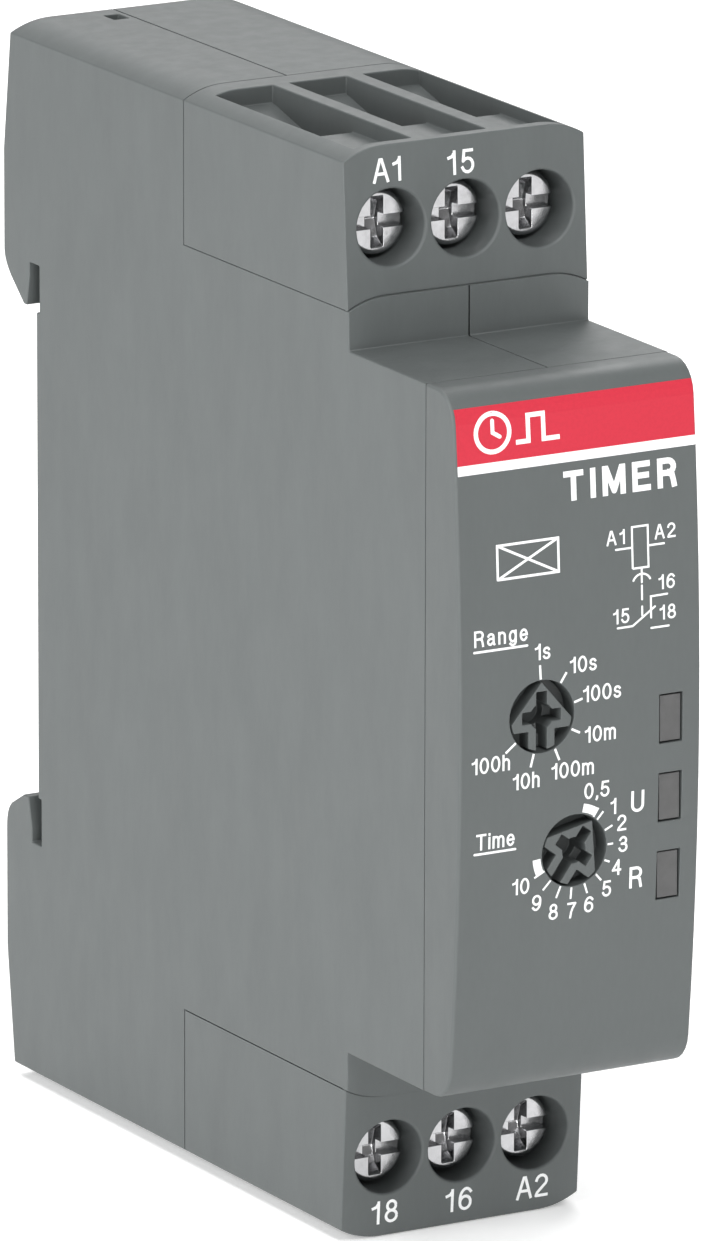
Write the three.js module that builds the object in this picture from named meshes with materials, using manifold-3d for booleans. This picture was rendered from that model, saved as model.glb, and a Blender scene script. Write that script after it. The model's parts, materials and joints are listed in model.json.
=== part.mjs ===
// DIN rail timer in a one-module housing. Millimetres, +Z up, the front panel faces -Y.
// The origin is the middle of the rail seat: the rail lies behind the plane y = 0, along X.
import * as THREE from 'three';
import { mergeVertices } from 'three/addons/utils/BufferGeometryUtils.js';
import Module from 'manifold-3d';

const wasm = await Module();
wasm.setup();

// Housing
const WIDTH = 17.5;
const HALF_WIDTH = WIDTH / 2;
const WALL = 1.3;
const INNER = HALF_WIDTH - WALL;
const SEAM = 0.12;
const BLOCK_GAP = 0.06;
const EDGE_HEIGHT = 34.9;
const CROWN = 0.8;
const CROWN_FLAT = 5.85;
const STEP_HEIGHT = 25.4;
const STEP_CROWN = 0.75;
const NOSE_HEIGHT = 22.9;
const BLOCK_BACK = -19.7;
const STEP_FACE = -41;
const CAP_BACK = -50.65;
const FRONT_SEAM_X = 0;
const REAR_SEAM_X = -1.2;
const SEAM_JOG_Y = -22;
const ARCH_SEGMENTS = 4;
const DOME_SEGMENTS = 6;

// Rail hooks
const HOOK_BACK = 4.4;
const BACK_TAPER_START = 27;
const BACK_TAPER = 0.12;
const GROOVE_DEPTH = 0.95;
const UPPER_GROOVE_TOP = 20.05;
const UPPER_TIP = 17.1;
const LOWER_GROOVE_BOTTOM = -19.2;
const LOWER_TIP = -16.2;
const RAIL_RELIEF = 0.4;

// Rail clamp and its channel in the upper rear of the housing
const CLAMP_HALF_WIDTH = 4.7;
const CLAMP_BOTTOM = 17.55;
const CLAMP_TOP = 24;
const CLAMP_FRONT = 0.35;
const CLAMP_BACK = 2.95;
const CLAMP_EAR = 1.5;
const CLAMP_EAR_BOTTOM = 21;
const CLAMP_EAR_TOP = 23;
const CLAMP_STROKE = 2.4;
const CHANNEL_TOP = 31.3;
const SLIDE_GAP = 0.2;

// Front panel
const FACE_FRONT = -55;
const FACE_BULGE = 1;
const FACE_HALF = 20.9;
const FACE_THICKNESS = 1.5;
const FACE_RADIUS = (FACE_HALF ** 2 + FACE_BULGE ** 2) / (2 * FACE_BULGE);
const FACE_CORNER = { back: 2.1, pull: 0.95, lean: 0.1, drop: 0.9 };
const CAP_ROOM_STEP = -51.6;
const WINDOW_X = [5.75, 7.45];
const WINDOW_HEIGHT = 3.2;
const WINDOW_GAP = 0.1;
const WINDOW_CENTRES = { window_blank: 0.41, light_guide_supply: -4.71, light_guide_relay: -9.83 };

// Knobs
const KNOB_HOLE_RADIUS = 2.35;
const KNOB_RADIUS = 2.25;
const KNOB_SINK = 1.15;
const KNOB_RELIEF = 1.1;
const ARROW_RADIUS = 2.2;
const ARROW_BARB = [98, 114];
const ARROW_STEM = 0.95;
const CROSS_HALF_WIDTH = 0.39;
const CROSS_REACH = 1.4;
const CROSS_DEPTH = 1.4;
const CROSS_HUB_RADIUS = 0.85;
const CROSS_HUB_DEPTH = 2;
const KNOB_BACK = -52.4;
const KNOB_SHAFT_RADIUS = 1.4;
const KNOB_SHAFT_END = -48.4;
const KNOBS = {
  range_knob: { x: -2.8, z: 1.72, angle: 0, holder: 'range_switch' },
  time_knob: { x: -0.33, z: -7.31, angle: 37, holder: 'time_potentiometer' },
};

// Terminals: three poles above and three below, side 1 is the upper block and side -1 the lower
const POLES = { left: -5.4, middle: 0, right: 5.4 };
const SIDES = { upper: 1, lower: -1 };
const SCREW_HEIGHT = 30.4;
const BORE_RADIUS = 2.45;
const BLOCK_FACE_LOW = -40.85;
const BLOCK_FACE_HIGH = -40.2;
const HEAD_RADIUS = 2.15;
const HEAD_FRONT = -38.7;
const HEAD_EDGE = 0.35;
const HEAD_BACK = -36.75;
const SLOT_HALF_WIDTH = 0.42;
const SLOT_DEPTH = 0.75;
const RECESS_HALF_WIDTH = 0.45;
const RECESS_REACH = 1.65;
const RECESS_DEPTH = 1.15;
const BORE_END = -36.65;
const CHAMBER_FRONT = -35.85;
const CHAMBER_BACK = -26.1;
const CHAMBER_HALF_WIDTH = 2.25;
const CHAMBER_LOW = 27.3;
const SHANK_RADIUS = 1.45;
const SHANK_HOLE_RADIUS = 1.62;
const BAR_FRONT = -31.4;
const BAR_BACK = -30.4;
const CAGE_FRONT = -32.7;
const CAGE_BACK = -26.4;
const CAGE_LOW = 27.6;
const CAGE_HIGH = 33.3;
const CAGE_HALF_WIDTH = 2.05;
const CAGE_WALL = 0.55;
const CAGE_NUT = 0.9;
const CAGE_FLOOR = 0.8;
const FUNNEL_BACK = -21.7;
const FUNNEL_FRONT = -39.3;
const FUNNEL_RIM = 37;
const LEDGE_BACK = -31.9;
const LEDGE_HEIGHT = 34.6;
const FUNNEL_HALF_WIDTH = 2.1;
const LEG_HALF_WIDTH = 0.625;
const LEG_GAP = 0.3;
const LEG_SLOT_Y = [BAR_FRONT - LEG_GAP, BAR_BACK + LEG_GAP];
const PEG_X = 2.7;
const PEG_Y = [-23.6, -22.2];

// Electronics
const BOARD_X = [5.6, 7.2];
const BOARD_FACE = 5.45;
const FRONT_BOARD_Y = [-47.6, -46.4];
const PART_ON_FRONT_BOARD = -47.75;
const RELAY_Y = [-28, -15.5];
const RELAY_Z = 14;
const RELAY_X = [-5.6, 4.2];
const COIL = { x: -0.4, y: -21.75 };
const PIVOT = { y: -16.8, z: 4.4 };

const finish = (options) => new THREE.MeshStandardMaterial({ flatShading: true, ...options });
const plastic = (color, roughness) => finish({ color, roughness });
const metal = (color, roughness) => finish({ color, roughness, metalness: 1 });
const MATERIALS = {
  housing: plastic(0x727878, 0.6),
  panel: plastic(0x6d7373, 0.55),
  knob: plastic(0x3a3d3e, 0.5),
  window: plastic(0x6f7171, 0.35),
  clamp: plastic(0x3c4041, 0.6),
  steel: metal(0xc9cbcc, 0.3),
  copper: metal(0xc08a56, 0.35),
  board: plastic(0x1f5a3a, 0.5),
  black: plastic(0x1c1d1f, 0.45),
  relay: plastic(0x2b4a78, 0.4),
  winding: metal(0xb0622f, 0.4),
  sleeve: plastic(0x1d2440, 0.4),
  film: plastic(0xc9a227, 0.45),
  ceramic: plastic(0x2f5fa8, 0.5),
  lamp: plastic(0xe8e4d0, 0.3),
};

// Turns extrusion space (u, v, w) into X, Y or Z extrusions whose outlines are (y, z), (x, z) or (x, y).
const EXTRUDE_ALONG = {
  x: new THREE.Matrix4().set(0, 0, 1, 0, 1, 0, 0, 0, 0, 1, 0, 0, 0, 0, 0, 1),
  y: new THREE.Matrix4().set(1, 0, 0, 0, 0, 0, -1, 0, 0, 1, 0, 0, 0, 0, 0, 1),
  z: new THREE.Matrix4(),
};

function toSolid(geometry) {
  geometry.deleteAttribute('normal');
  geometry.deleteAttribute('uv');
  const merged = mergeVertices(geometry, 1e-5);
  const corners = merged.index.array;
  const kept = [];
  for (let i = 0; i < corners.length; i += 3) {
    const [a, b, c] = [corners[i], corners[i + 1], corners[i + 2]];
    if (a !== b && b !== c && c !== a) kept.push(a, b, c);
  }
  const vertProperties = Float32Array.from(merged.attributes.position.array);
  return new wasm.Manifold(new wasm.Mesh({ numProp: 3, vertProperties, triVerts: Uint32Array.from(kept) }));
}

function extrude(shape, axis, a, b, curveSegments = 8) {
  const [from, to] = [Math.min(a, b), Math.max(a, b)];
  const geometry = new THREE.ExtrudeGeometry(shape, { depth: to - from, bevelEnabled: false, curveSegments });
  geometry.translate(0, 0, axis === 'y' ? -to : from);
  return toSolid(geometry.applyMatrix4(EXTRUDE_ALONG[axis]));
}

function outline(points) {
  return new THREE.Shape(points.map(([u, v]) => new THREE.Vector2(u, v)));
}

function box([x0, x1], [y0, y1], [z0, z1]) {
  const geometry = new THREE.BoxGeometry(Math.abs(x1 - x0), Math.abs(y1 - y0), Math.abs(z1 - z0));
  return toSolid(geometry.translate((x0 + x1) / 2, (y0 + y1) / 2, (z0 + z1) / 2));
}

// A cylinder along Y from y = a to y = b.
function cylinderY(x, z, a, b, radius, segments) {
  const geometry = new THREE.CylinderGeometry(radius, radius, Math.abs(b - a), segments);
  return toSolid(geometry.translate(x, (a + b) / 2, z));
}

function cylinderZ(x, y, a, b, radius, segments = 24) {
  const geometry = new THREE.CylinderGeometry(radius, radius, Math.abs(b - a), segments).rotateX(Math.PI / 2);
  return toSolid(geometry.translate(x, y, (a + b) / 2));
}

function union(...solids) {
  return solids.reduce((whole, solid) => whole.add(solid));
}

const mirrored = (side, a, b) => [side * a, side * b];

const timer = new THREE.Group();

function add(name, solid, material) {
  const mesh = solid.getMesh();
  const geometry = new THREE.BufferGeometry();
  geometry.setAttribute('position', new THREE.BufferAttribute(Float32Array.from(mesh.vertProperties), 3));
  geometry.setIndex(Array.from(mesh.triVerts));
  const piece = new THREE.Mesh(geometry, MATERIALS[material]);
  piece.name = name;
  timer.add(piece);
}

// The front view of the housing: straight sides, with a top and a bottom that are flat in the middle
// and fall by the crown to the side edges on a round arc.
function archOutline(edge, crown) {
  const run = HALF_WIDTH - CROWN_FLAT;
  const radius = (run ** 2 + crown ** 2) / (2 * crown);
  const sweep = Math.asin(run / radius);
  const centre = edge + crown - radius;
  const up = Math.PI / 2;
  const shape = new THREE.Shape();
  shape.moveTo(HALF_WIDTH, -edge);
  shape.lineTo(HALF_WIDTH, edge);
  shape.absarc(CROWN_FLAT, centre, radius, up - sweep, up);
  shape.absarc(-CROWN_FLAT, centre, radius, up, up + sweep);
  shape.lineTo(-HALF_WIDTH, -edge);
  shape.absarc(-CROWN_FLAT, -centre, radius, -up - sweep, -up);
  shape.absarc(CROWN_FLAT, -centre, radius, -up, -up + sweep);
  return shape;
}

// Side outline of the rear of the housing, with the groove behind each rail hook.
function rearOutline() {
  const above = EDGE_HEIGHT + 2;
  const backAtTop = HOOK_BACK - BACK_TAPER * (above - BACK_TAPER_START);
  const shape = new THREE.Shape();
  shape.moveTo(BLOCK_BACK, -above);
  shape.lineTo(BLOCK_BACK, above);
  shape.lineTo(backAtTop, above);
  shape.lineTo(HOOK_BACK, BACK_TAPER_START);
  shape.lineTo(HOOK_BACK, UPPER_TIP + 3.3);
  shape.quadraticCurveTo(HOOK_BACK, UPPER_TIP + 2.3, 3.2, UPPER_TIP + 1.3);
  shape.lineTo(1.7, UPPER_TIP);
  shape.lineTo(1.35, UPPER_TIP);
  shape.lineTo(GROOVE_DEPTH, UPPER_TIP + 2);
  shape.lineTo(GROOVE_DEPTH, UPPER_GROOVE_TOP);
  shape.lineTo(-RAIL_RELIEF, UPPER_GROOVE_TOP);
  shape.lineTo(-RAIL_RELIEF, UPPER_TIP - 0.2);
  shape.lineTo(0, UPPER_TIP - 0.2);
  shape.lineTo(0, LOWER_TIP + 0.2);
  shape.lineTo(-RAIL_RELIEF, LOWER_TIP + 0.2);
  shape.lineTo(-RAIL_RELIEF, LOWER_GROOVE_BOTTOM);
  shape.lineTo(GROOVE_DEPTH, LOWER_GROOVE_BOTTOM);
  shape.lineTo(GROOVE_DEPTH, LOWER_TIP - 2);
  shape.lineTo(1.4, LOWER_TIP);
  shape.lineTo(2, LOWER_TIP);
  shape.lineTo(3.7, LOWER_TIP - 0.95);
  shape.quadraticCurveTo(HOOK_BACK, LOWER_TIP - 1.5, HOOK_BACK, LOWER_TIP - 2.7);
  shape.lineTo(HOOK_BACK, -BACK_TAPER_START);
  shape.lineTo(backAtTop, -above);
  return shape;
}

function housingBody() {
  const rear = extrude(rearOutline(), 'x', -HALF_WIDTH, HALF_WIDTH);
  const rearArch = extrude(archOutline(EDGE_HEIGHT, CROWN), 'y', BLOCK_BACK, HOOK_BACK + 1, ARCH_SEGMENTS);
  const middle = extrude(archOutline(STEP_HEIGHT, STEP_CROWN), 'y', STEP_FACE, BLOCK_BACK + 1, ARCH_SEGMENTS);
  const noseY = [CAP_BACK + SEAM / 4, STEP_FACE + 1];
  const nose = box([-HALF_WIDTH, HALF_WIDTH], noseY, [-NOSE_HEIGHT, NOSE_HEIGHT]);
  return union(rear.intersect(rearArch), middle, nose);
}

// The room inside the two shells, as one side outline.
function housingRoom() {
  const step = STEP_HEIGHT - WALL;
  const nose = NOSE_HEIGHT - WALL;
  const top = EDGE_HEIGHT - WALL - 0.1;
  const rail = -WALL - 0.2;
  const wall = BLOCK_BACK + WALL;
  const stepBack = STEP_FACE + WALL;
  const hook = HOOK_BACK - WALL;
  const hookTop = LOWER_GROOVE_BOTTOM - 1.6;
  const front = CAP_BACK - 1;
  const room = outline([
    [front, -nose], [front, nose], [stepBack, nose], [stepBack, step], [wall, step], [wall, top],
    [rail, top], [rail, hookTop], [hook, hookTop], [hook, -BACK_TAPER_START],
    [hook - 0.8, -top], [wall, -top], [wall, -step], [stepBack, -step], [stepBack, -nose],
  ]);
  return extrude(room, 'x', -INNER, INNER);
}

function clampChannel() {
  const half = CLAMP_HALF_WIDTH + SLIDE_GAP;
  const back = CLAMP_BACK + SLIDE_GAP;
  const ear = half + CLAMP_EAR;
  const shaft = box([-half, half], [CLAMP_FRONT - SLIDE_GAP, back], [UPPER_TIP - 1, CHANNEL_TOP]);
  const earTop = CLAMP_EAR_TOP + CLAMP_STROKE + SLIDE_GAP;
  return shaft.add(box([-ear, ear], [1.4, back], [CLAMP_EAR_BOTTOM - 0.1, earTop]));
}

// Slots through the step wall for the legs of the contact bars, and holes for the snap pegs of the blocks.
function stepWallCuts(side) {
  const z = mirrored(side, STEP_HEIGHT - WALL - 0.5, STEP_HEIGHT + STEP_CROWN + 0.5);
  const slots = Object.values(POLES).map((x) => box(legSpan(x, LEG_GAP), LEG_SLOT_Y, z));
  const pegs = [-PEG_X, PEG_X].map((x) => box([x - 0.9, x + 0.9], [PEG_Y[0] - 0.2, PEG_Y[1] + 0.5], z));
  return union(...slots, ...pegs);
}

// The window near the back edge that shows the snap hook between the shells.
const snapWindow = (side) => union(
  box([-2.7, -1.6], [0.3, 1.8], mirrored(side, 33.6, 37)),
  box([-1.8, REAR_SEAM_X + 0.5], [0.3, 1.8], mirrored(side, 33.6, 34.8)),
);

function snapHook(side) {
  const root = REAR_SEAM_X + 0.4;
  const [low, high, tip] = [33.75, 34.6, 35.3];
  const points = [[root, low], [-2.4, low], [-2.45, tip], [-1.75, high], [root, high]];
  return extrude(outline(points.map(([x, z]) => [x, side * z])), 'y', 0.5, 1.6);
}

function buildShells() {
  const cuts = union(housingRoom(), clampChannel(), stepWallCuts(1), stepWallCuts(-1));
  const hollow = housingBody().subtract(cuts);
  const far = HALF_WIDTH + 1;
  const front = CAP_BACK - 1;
  const back = HOOK_BACK + 1;
  const tall = [-EDGE_HEIGHT - 2, EDGE_HEIGHT + 2];
  const gap = SEAM / 2;
  const leftSpace = union(
    box([-far, FRONT_SEAM_X - gap], [front, SEAM_JOG_Y - gap], tall),
    box([-far, REAR_SEAM_X - gap], [SEAM_JOG_Y - 1, back], tall),
  );
  const rightSpace = union(
    box([FRONT_SEAM_X + gap, far], [front, SEAM_JOG_Y + 1], tall),
    box([REAR_SEAM_X + gap, far], [SEAM_JOG_Y + gap, back], tall),
  );
  const windows = snapWindow(1).add(snapWindow(-1));
  add('housing_left', hollow.intersect(leftSpace).subtract(windows), 'housing');
  add('housing_right', union(hollow.intersect(rightSpace), snapHook(1), snapHook(-1)), 'housing');
}

// y of the domed front face at height z, moved back by depth.
const faceAt = (z, depth = 0) => FACE_FRONT + FACE_RADIUS - Math.sqrt(FACE_RADIUS ** 2 - z ** 2) + depth;

function capOutline() {
  const back = CAP_BACK - SEAM / 4;
  const edge = FACE_FRONT + FACE_BULGE;
  const sweep = Math.asin(FACE_HALF / FACE_RADIUS);
  const { back: start, pull, lean, drop } = FACE_CORNER;
  const shape = new THREE.Shape();
  shape.moveTo(back, -NOSE_HEIGHT);
  shape.lineTo(back, NOSE_HEIGHT);
  shape.lineTo(edge + start, NOSE_HEIGHT);
  shape.bezierCurveTo(edge + pull, NOSE_HEIGHT, edge + lean, NOSE_HEIGHT - drop, edge, FACE_HALF);
  shape.absarc(FACE_FRONT + FACE_RADIUS, 0, FACE_RADIUS, Math.PI - sweep, Math.PI + sweep);
  shape.bezierCurveTo(edge + lean, drop - NOSE_HEIGHT, edge + pull, -NOSE_HEIGHT, edge + start, -NOSE_HEIGHT);
  return shape;
}

function capRoom() {
  const half = FACE_HALF - 1;
  const radius = FACE_RADIUS - FACE_THICKNESS;
  const sweep = Math.asin(half / radius);
  const shape = new THREE.Shape();
  shape.moveTo(CAP_BACK + 1, WALL - NOSE_HEIGHT);
  shape.lineTo(CAP_BACK + 1, NOSE_HEIGHT - WALL);
  shape.lineTo(CAP_ROOM_STEP, NOSE_HEIGHT - WALL);
  shape.absarc(FACE_FRONT + FACE_RADIUS, 0, radius, Math.PI - sweep, Math.PI + sweep);
  shape.lineTo(CAP_ROOM_STEP, WALL - NOSE_HEIGHT);
  return extrude(shape, 'x', -INNER, INNER);
}

// Tongues that reach back inside the nose walls and hold the cap: x span and z span of each.
function capTongues() {
  const side = INNER - 0.15;
  const top = NOSE_HEIGHT - WALL - 0.15;
  const y = [CAP_BACK - 1.2, CAP_BACK + 2.2];
  const spans = [
    [[-5.5, 5.5], [top - 0.9, top]], [[-5.5, 5.5], [-top, 0.9 - top]],
    [[-side, 0.9 - side], [8, 17]], [[-side, 0.9 - side], [-17, -8]],
    [[side - 0.9, side], [8, 17]], [[side - 0.9, side], [-20, -14]],
  ];
  const rootY = [y[0], CAP_BACK - 0.2];
  const tongues = spans.map(([x, z]) => box(x, y, z));
  const roots = spans.map(([x, z]) => box(x.map((v) => v * 1.04), rootY, z.map((v) => v * 1.02)));
  return union(...tongues, ...roots);
}

function buildFrontCap() {
  const shell = extrude(capOutline(), 'x', -HALF_WIDTH, HALF_WIDTH, DOME_SEGMENTS).subtract(capRoom());
  let cap = shell.add(capTongues());
  for (const { x, z } of Object.values(KNOBS)) {
    cap = cap.subtract(cylinderY(x, z, FACE_FRONT - 1, FACE_FRONT + 3, KNOB_HOLE_RADIUS, 36));
  }
  for (const z of Object.values(WINDOW_CENTRES)) {
    const half = WINDOW_HEIGHT / 2;
    cap = cap.subtract(box(WINDOW_X, [FACE_FRONT - 1, FACE_FRONT + 3], [z - half, z + half]));
  }
  add('front_cap', cap, 'panel');
}

function buildWindows() {
  const x = [WINDOW_X[0] + WINDOW_GAP, WINDOW_X[1] - WINDOW_GAP];
  for (const [name, z] of Object.entries(WINDOW_CENTRES)) {
    const half = WINDOW_HEIGHT / 2 - WINDOW_GAP;
    const front = faceAt(z, 0.12);
    const back = name === 'window_blank' ? FACE_FRONT + 3.2 : PART_ON_FRONT_BOARD - 1.05;
    add(name, box(x, [front, back], [z - half, z + half]), 'window');
  }
}

function buildLamps() {
  const middle = (WINDOW_X[0] + WINDOW_X[1]) / 2;
  const seat = PART_ON_FRONT_BOARD;
  const lamps = { led_supply: 'light_guide_supply', led_relay: 'light_guide_relay' };
  for (const [name, guide] of Object.entries(lamps)) {
    const z = WINDOW_CENTRES[guide];
    const base = box([middle - 0.62, middle + 0.62], [seat, seat - 0.4], [z - 1, z + 1]);
    const lens = box([middle - 0.5, middle + 0.5], [seat - 0.3, seat - 0.8], [z - 0.7, z + 0.7]);
    add(name, base.add(lens), 'lamp');
  }
}

// The raised arrow on a knob, pointing up: its tip, its barbs and its foot end on one circle.
function arrowOutline() {
  const [high, low] = ARROW_BARB.map((degrees) => THREE.MathUtils.degToRad(90 - degrees));
  const foot = Math.acos(ARROW_STEM / ARROW_RADIUS);
  const under = ARROW_RADIUS * Math.sin(low);
  const shape = new THREE.Shape();
  shape.moveTo(0, ARROW_RADIUS);
  shape.lineTo(ARROW_RADIUS * Math.cos(high), ARROW_RADIUS * Math.sin(high));
  shape.absarc(0, 0, ARROW_RADIUS, high, low, true);
  shape.lineTo(ARROW_STEM, under);
  shape.absarc(0, 0, ARROW_RADIUS, -foot, foot - Math.PI, true);
  shape.lineTo(-ARROW_STEM, under);
  shape.absarc(0, 0, ARROW_RADIUS, Math.PI - low, Math.PI - high, true);
  return shape;
}

function crossRecess(front) {
  const y = [front - 1, front + CROSS_DEPTH];
  const width = [-CROSS_HALF_WIDTH, CROSS_HALF_WIDTH];
  return union(
    box(width, y, [-CROSS_REACH, CROSS_REACH + 0.2]),
    box([-CROSS_REACH, CROSS_REACH], y, width),
    cylinderY(0, 0, front - 1, front + CROSS_HUB_DEPTH, CROSS_HUB_RADIUS, 20),
  );
}

function knobSolid(z) {
  const top = faceAt(z, KNOB_SINK - KNOB_RELIEF);
  const base = top + KNOB_RELIEF;
  const disc = cylinderY(0, 0, base, KNOB_BACK, KNOB_RADIUS, 40);
  const shaft = cylinderY(0, 0, base + 0.5, KNOB_SHAFT_END, KNOB_SHAFT_RADIUS, 24);
  const channel = box([-CROSS_HALF_WIDTH, CROSS_HALF_WIDTH], [top - 1, base + 1], [-KNOB_RADIUS, 0]);
  const arrow = extrude(arrowOutline(), 'y', top, base + 0.1, 3).subtract(channel);
  return union(disc, shaft, arrow).subtract(crossRecess(top));
}

// A knob turned clockwise by angle, as seen from the front, and the switch or potentiometer body behind it.
function buildKnobs() {
  const half = 3.25;
  const bodyY = [PART_ON_FRONT_BOARD, PART_ON_FRONT_BOARD - 3.9];
  for (const [name, { x, z, angle, holder }] of Object.entries(KNOBS)) {
    const turned = knobSolid(z).rotate([0, angle, 0]).translate([x, 0, z]);
    add(name, turned, 'knob');
    const body = box([x - half, x + half], bodyY, [z - half, z + half]);
    const bore = cylinderY(x, z, KNOB_SHAFT_END + 0.15, FACE_FRONT, KNOB_SHAFT_RADIUS + 0.12, 24);
    add(holder, body.subtract(bore), 'black');
  }
}

// x span of the leg of the contact bar at pole x: the right one stays on the component side of the board.
function legSpan(x, gap = 0) {
  const middle = Math.min(x, BOARD_FACE - LEG_HALF_WIDTH);
  return [middle - LEG_HALF_WIDTH - gap, middle + LEG_HALF_WIDTH + gap];
}

function blockOutline(side) {
  const low = STEP_HEIGHT - 1;
  const high = EDGE_HEIGHT + 1.5;
  const back = BLOCK_BACK - 0.1;
  return outline([[back, low], [BLOCK_FACE_LOW - 0.05, low], [BLOCK_FACE_HIGH + 0.05, high], [back, high]]
    .map(([y, z]) => [y, side * z]));
}

// A wire-entry funnel: a slope at the back and a flat ledge at the front leave the way down to the chamber.
function funnel(x, side) {
  const back = CHAMBER_BACK - 0.9;
  const low = CHAMBER_LOW + 3.7;
  const profile = outline([
    [FUNNEL_BACK, FUNNEL_RIM], [FUNNEL_BACK, 34.5], [back, 33.1], [back, low], [LEDGE_BACK, low],
    [LEDGE_BACK, LEDGE_HEIGHT], [FUNNEL_FRONT, LEDGE_HEIGHT], [FUNNEL_FRONT, FUNNEL_RIM],
  ].map(([y, z]) => [y, side * z]));
  return extrude(profile, 'x', x - FUNNEL_HALF_WIDTH, x + FUNNEL_HALF_WIDTH);
}

function poleRoom(x, side) {
  const z = side * SCREW_HEIGHT;
  const front = BLOCK_FACE_LOW - 0.4;
  const half = CHAMBER_HALF_WIDTH;
  return union(
    cylinderY(x, z, front, BORE_END, BORE_RADIUS, 40),
    cylinderY(x, z, BORE_END - 0.2, CHAMBER_FRONT + 0.2, SHANK_HOLE_RADIUS, 24),
    box([x - half, x + half], [CHAMBER_FRONT, CHAMBER_BACK], mirrored(side, CHAMBER_LOW, CAGE_HIGH + 0.2)),
    box(legSpan(x, LEG_GAP), LEG_SLOT_Y, mirrored(side, STEP_HEIGHT, CHAMBER_LOW + 0.2)),
    funnel(x, side),
  );
}

function snapPeg(x, side) {
  const width = [x - 0.7, x + 0.7];
  const inside = STEP_HEIGHT - WALL;
  const shank = box(width, PEG_Y, mirrored(side, inside - 0.8, STEP_HEIGHT + STEP_CROWN + 1.2));
  const nose = box(width, [PEG_Y[0], PEG_Y[1] + 0.35], mirrored(side, inside - 0.8, inside - 0.2));
  return shank.add(nose);
}

function buildBlocks() {
  for (const [name, side] of Object.entries(SIDES)) {
    const front = BLOCK_FACE_LOW - 1;
    const step = archOutline(STEP_HEIGHT + BLOCK_GAP, STEP_CROWN);
    const outer = extrude(archOutline(EDGE_HEIGHT, CROWN), 'y', front, BLOCK_BACK, ARCH_SEGMENTS);
    const under = extrude(step, 'y', front, BLOCK_BACK + 1, ARCH_SEGMENTS);
    let block = extrude(blockOutline(side), 'x', -HALF_WIDTH, HALF_WIDTH).intersect(outer).subtract(under);
    for (const x of Object.values(POLES)) block = block.subtract(poleRoom(x, side));
    block = union(block, snapPeg(-PEG_X, side), snapPeg(PEG_X, side));
    add(`terminal_block_${name}`, block, 'housing');
  }
}

function screwHead() {
  const length = HEAD_BACK - HEAD_FRONT;
  const rim = [0, 30, 60, 90].map((degrees) => THREE.MathUtils.degToRad(degrees))
    .map((a) => [HEAD_RADIUS - HEAD_EDGE * (1 - Math.cos(a)), length - HEAD_EDGE * (1 - Math.sin(a))]);
  const profile = [[0, 0], [HEAD_RADIUS, 0], ...rim, [0, length]].map(([r, u]) => new THREE.Vector2(r, u));
  const turned = new THREE.LatheGeometry(profile, 36).rotateX(Math.PI);
  return toSolid(turned.translate(0, HEAD_BACK, 0));
}

// The head has a rounded edge, a slot right across and an upright recess that deepens to the middle.
function screwSolid(x, z) {
  const shank = cylinderY(0, 0, HEAD_BACK - 0.1, BAR_FRONT - 0.1, SHANK_RADIUS, 24);
  const slotY = [HEAD_FRONT - 1, HEAD_FRONT + SLOT_DEPTH];
  const slot = box([-3, 3], slotY, [-SLOT_HALF_WIDTH, SLOT_HALF_WIDTH]);
  const deep = HEAD_FRONT + RECESS_DEPTH;
  const recess = outline([
    [HEAD_FRONT - 1, -RECESS_REACH], [HEAD_FRONT - 1, RECESS_REACH], [HEAD_FRONT, RECESS_REACH],
    [deep - 0.35, 1.15], [deep, 0], [deep - 0.35, -1.15], [HEAD_FRONT, -RECESS_REACH],
  ]);
  const cuts = slot.add(extrude(recess, 'x', -RECESS_HALF_WIDTH, RECESS_HALF_WIDTH));
  return screwHead().add(shank).subtract(cuts).translate([x, 0, z]);
}

// The cage is a short square tube around the wire: the screw threads through its front wall.
function cageSolid(x, side) {
  const z = mirrored(side, CAGE_LOW, CAGE_HIGH);
  const inner = CAGE_HALF_WIDTH - CAGE_WALL;
  const tube = box([x - CAGE_HALF_WIDTH, x + CAGE_HALF_WIDTH], [CAGE_FRONT, CAGE_BACK], z);
  const nut = CAGE_FRONT + CAGE_NUT;
  const through = mirrored(side, CAGE_LOW - 1, CAGE_HIGH + 1);
  const room = box([x - inner, x + inner], [nut, CAGE_BACK - CAGE_FLOOR], through);
  const thread = cylinderY(x, side * SCREW_HEIGHT, CAGE_FRONT - 1, nut + 0.2, SHANK_HOLE_RADIUS, 24);
  return tube.subtract(room).subtract(thread);
}

// The bar in the cage, its leg through the step wall, and the run at its own level across to the main board.
function contactBar(x, side) {
  const y = [BAR_FRONT, BAR_BACK];
  const leg = legSpan(x);
  const level = { [POLES.left]: 17.4, [POLES.middle]: 19.4, [POLES.right]: 21.4 }[x];
  return union(
    box([x - 1.2, x + 1.2], y, mirrored(side, CHAMBER_LOW + 0.35, CAGE_HIGH - 0.3)),
    box(leg, y, mirrored(side, level, CHAMBER_LOW + 0.5)),
    box([leg[0], BOARD_FACE], y, mirrored(side, level, level + 1)),
  );
}

function buildTerminals() {
  for (const [level, side] of Object.entries(SIDES)) {
    for (const [place, x] of Object.entries(POLES)) {
      add(`terminal_screw_${level}_${place}`, screwSolid(x, side * SCREW_HEIGHT), 'steel');
      add(`clamp_cage_${level}_${place}`, cageSolid(x, side), 'steel');
      add(`contact_bar_${level}_${place}`, contactBar(x, side), 'copper');
    }
  }
}

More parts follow.
